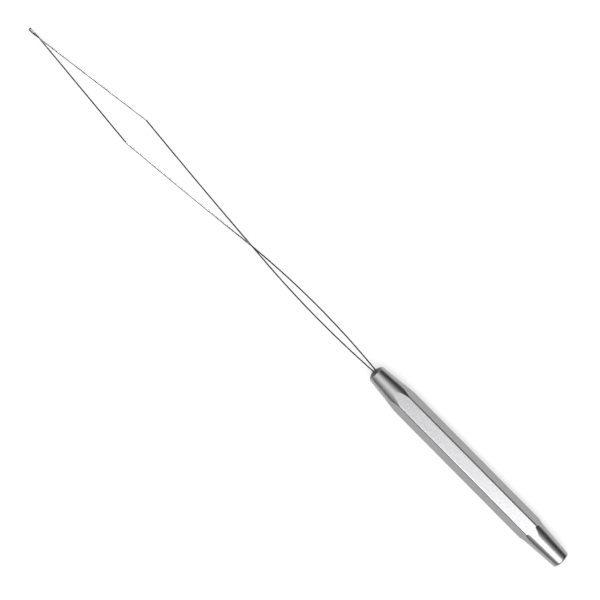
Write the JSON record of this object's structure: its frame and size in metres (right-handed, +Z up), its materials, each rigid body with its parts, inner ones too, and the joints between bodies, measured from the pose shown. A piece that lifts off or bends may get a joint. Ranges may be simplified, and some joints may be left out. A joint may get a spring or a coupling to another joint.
{
  "type": "needle threader",
  "caption": "Hexagonal metal handle with tapered ends and a long fine spring-wire loop that squeezes shut to pull thread through a narrow tube.",
  "frame": {"origin": "middle of the handle's lower flat, which lies on the table", "axes": "+X along the handle towards the wire's tip, +Z up, +Y to the left seen from behind the handle; the loop lies in the XY plane"},
  "size_m": [0.1857, 0.0078, 0.006],
  "materials": {
    "satin_steel": "satin brushed flats, fine turned tapers",
    "spring_steel": "dark glossy hard-drawn wire",
    "adhesive": "dark cured adhesive, glossy"
  },
  "bodies": {
    "handle": {"handle": "satin_steel", "adhesive_plug": "adhesive", "wire_tail_right": "spring_steel", "wire_tail_left": "spring_steel"},
    "wire_root": {"wire_foot_right": "spring_steel", "wire_foot_left": "spring_steel"},
    "stem_rear_right": {"wire_stem_rear_right": "spring_steel"},
    "stem_front_right": {"wire_stem_front_right": "spring_steel"},
    "crossing_over": {"wire_crossing_over": "spring_steel"},
    "rear_leg_left": {"wire_rear_leg_left": "spring_steel"},
    "front_leg_left": {"wire_front_leg_left": "spring_steel"},
    "stem_rear_left": {"wire_stem_rear_left": "spring_steel"},
    "stem_front_left": {"wire_stem_front_left": "spring_steel"},
    "crossing_under": {"wire_crossing_under": "spring_steel"},
    "rear_leg_right": {"wire_rear_leg_right": "spring_steel"},
    "front_leg_right": {"wire_front_leg_right": "spring_steel"},
    "tip_eye": {"wire_tip_eye": "spring_steel"}
  },
  "joints": [
    {"name": "wire_sway", "type": "hinge", "parent": "handle", "child": "wire_root", "pos_m": [0.03365, -0.00017, 0.003], "axis": [0, 0, 1], "range_deg": [-10, 10], "stiffness_Nm_per_rad": 0.007},
    {"name": "stem_squeeze", "type": "hinge", "parent": "wire_root", "child": "stem_rear_right", "pos_m": [0.0347, -0.0006, 0.00318], "axis": [0, 0, 1], "range_deg": [0, 2.5], "stiffness_Nm_per_rad": 0.07},
    {"name": "stem_mid_right_bend", "type": "hinge", "parent": "stem_rear_right", "child": "stem_front_right", "pos_m": [0.05455, -0.00142, 0.00318], "axis": [0, 0, -1], "range_deg": [0, 5]},
    {"name": "crossing_over_bend", "type": "hinge", "parent": "stem_front_right", "child": "crossing_over", "pos_m": [0.0744, -0.00048, 0.00318], "axis": [0, 0, 1], "range_deg": [0, 2.5]},
    {"name": "stem_root_left_bend", "type": "hinge", "parent": "wire_root", "child": "stem_rear_left", "pos_m": [0.0347, 0.00023, 0.00281], "axis": [0, 0, -1], "range_deg": [0, 2.02]},
    {"name": "stem_mid_left_bend", "type": "hinge", "parent": "stem_rear_left", "child": "stem_front_left", "pos_m": [0.05455, 0.00074, 0.00281], "axis": [0, 0, 1], "range_deg": [0, 4.03]},
    {"name": "crossing_under_bend", "type": "hinge", "parent": "stem_front_left", "child": "crossing_under", "pos_m": [0.0744, -0.00018, 0.00281], "axis": [0, 0, -1], "range_deg": [0, 2.02]},
    {"name": "mouth_squeeze", "type": "hinge", "parent": "crossing_over", "child": "rear_leg_left", "pos_m": [0.0764, -0.00031, 0.00318], "axis": [0, 0, -1], "range_deg": [0, 4.68], "stiffness_Nm_per_rad": 0.035},
    {"name": "elbow_left_bend", "type": "hinge", "parent": "rear_leg_left", "child": "front_leg_left", "pos_m": [0.1165, 0.0038, 0.00318], "axis": [0, 0, 1], "range_deg": [0, 10.32]},
    {"name": "mouth_right_bend", "type": "hinge", "parent": "crossing_under", "child": "rear_leg_right", "pos_m": [0.0764, -0.00031, 0.00281], "axis": [0, 0, 1], "range_deg": [0, 5.33]},
    {"name": "elbow_right_bend", "type": "hinge", "parent": "rear_leg_right", "child": "front_leg_right", "pos_m": [0.11695, -0.00365, 0.00281], "axis": [0, 0, -1], "range_deg": [0, 11.88]},
    {"name": "neck_bend", "type": "hinge", "parent": "front_leg_right", "child": "tip_eye", "pos_m": [0.1498, 0.00086, 0.00281], "axis": [0, 0, 1], "range_deg": [0, 6.54]}
  ],
  "couplings": [
    {"joint": "stem_mid_right_bend", "follows": "stem_squeeze", "ratio": 2},
    {"joint": "crossing_over_bend", "follows": "stem_squeeze", "ratio": 1},
    {"joint": "stem_root_left_bend", "follows": "stem_squeeze", "ratio": 0.80634},
    {"joint": "stem_mid_left_bend", "follows": "stem_squeeze", "ratio": 1.6127},
    {"joint": "crossing_under_bend", "follows": "stem_squeeze", "ratio": 0.80634},
    {"joint": "elbow_left_bend", "follows": "mouth_squeeze", "ratio": 2.2058},
    {"joint": "mouth_right_bend", "follows": "mouth_squeeze", "ratio": 1.1393},
    {"joint": "elbow_right_bend", "follows": "mouth_squeeze", "ratio": 2.5373},
    {"joint": "neck_bend", "follows": "mouth_squeeze", "ratio": 1.398}
  ]
}
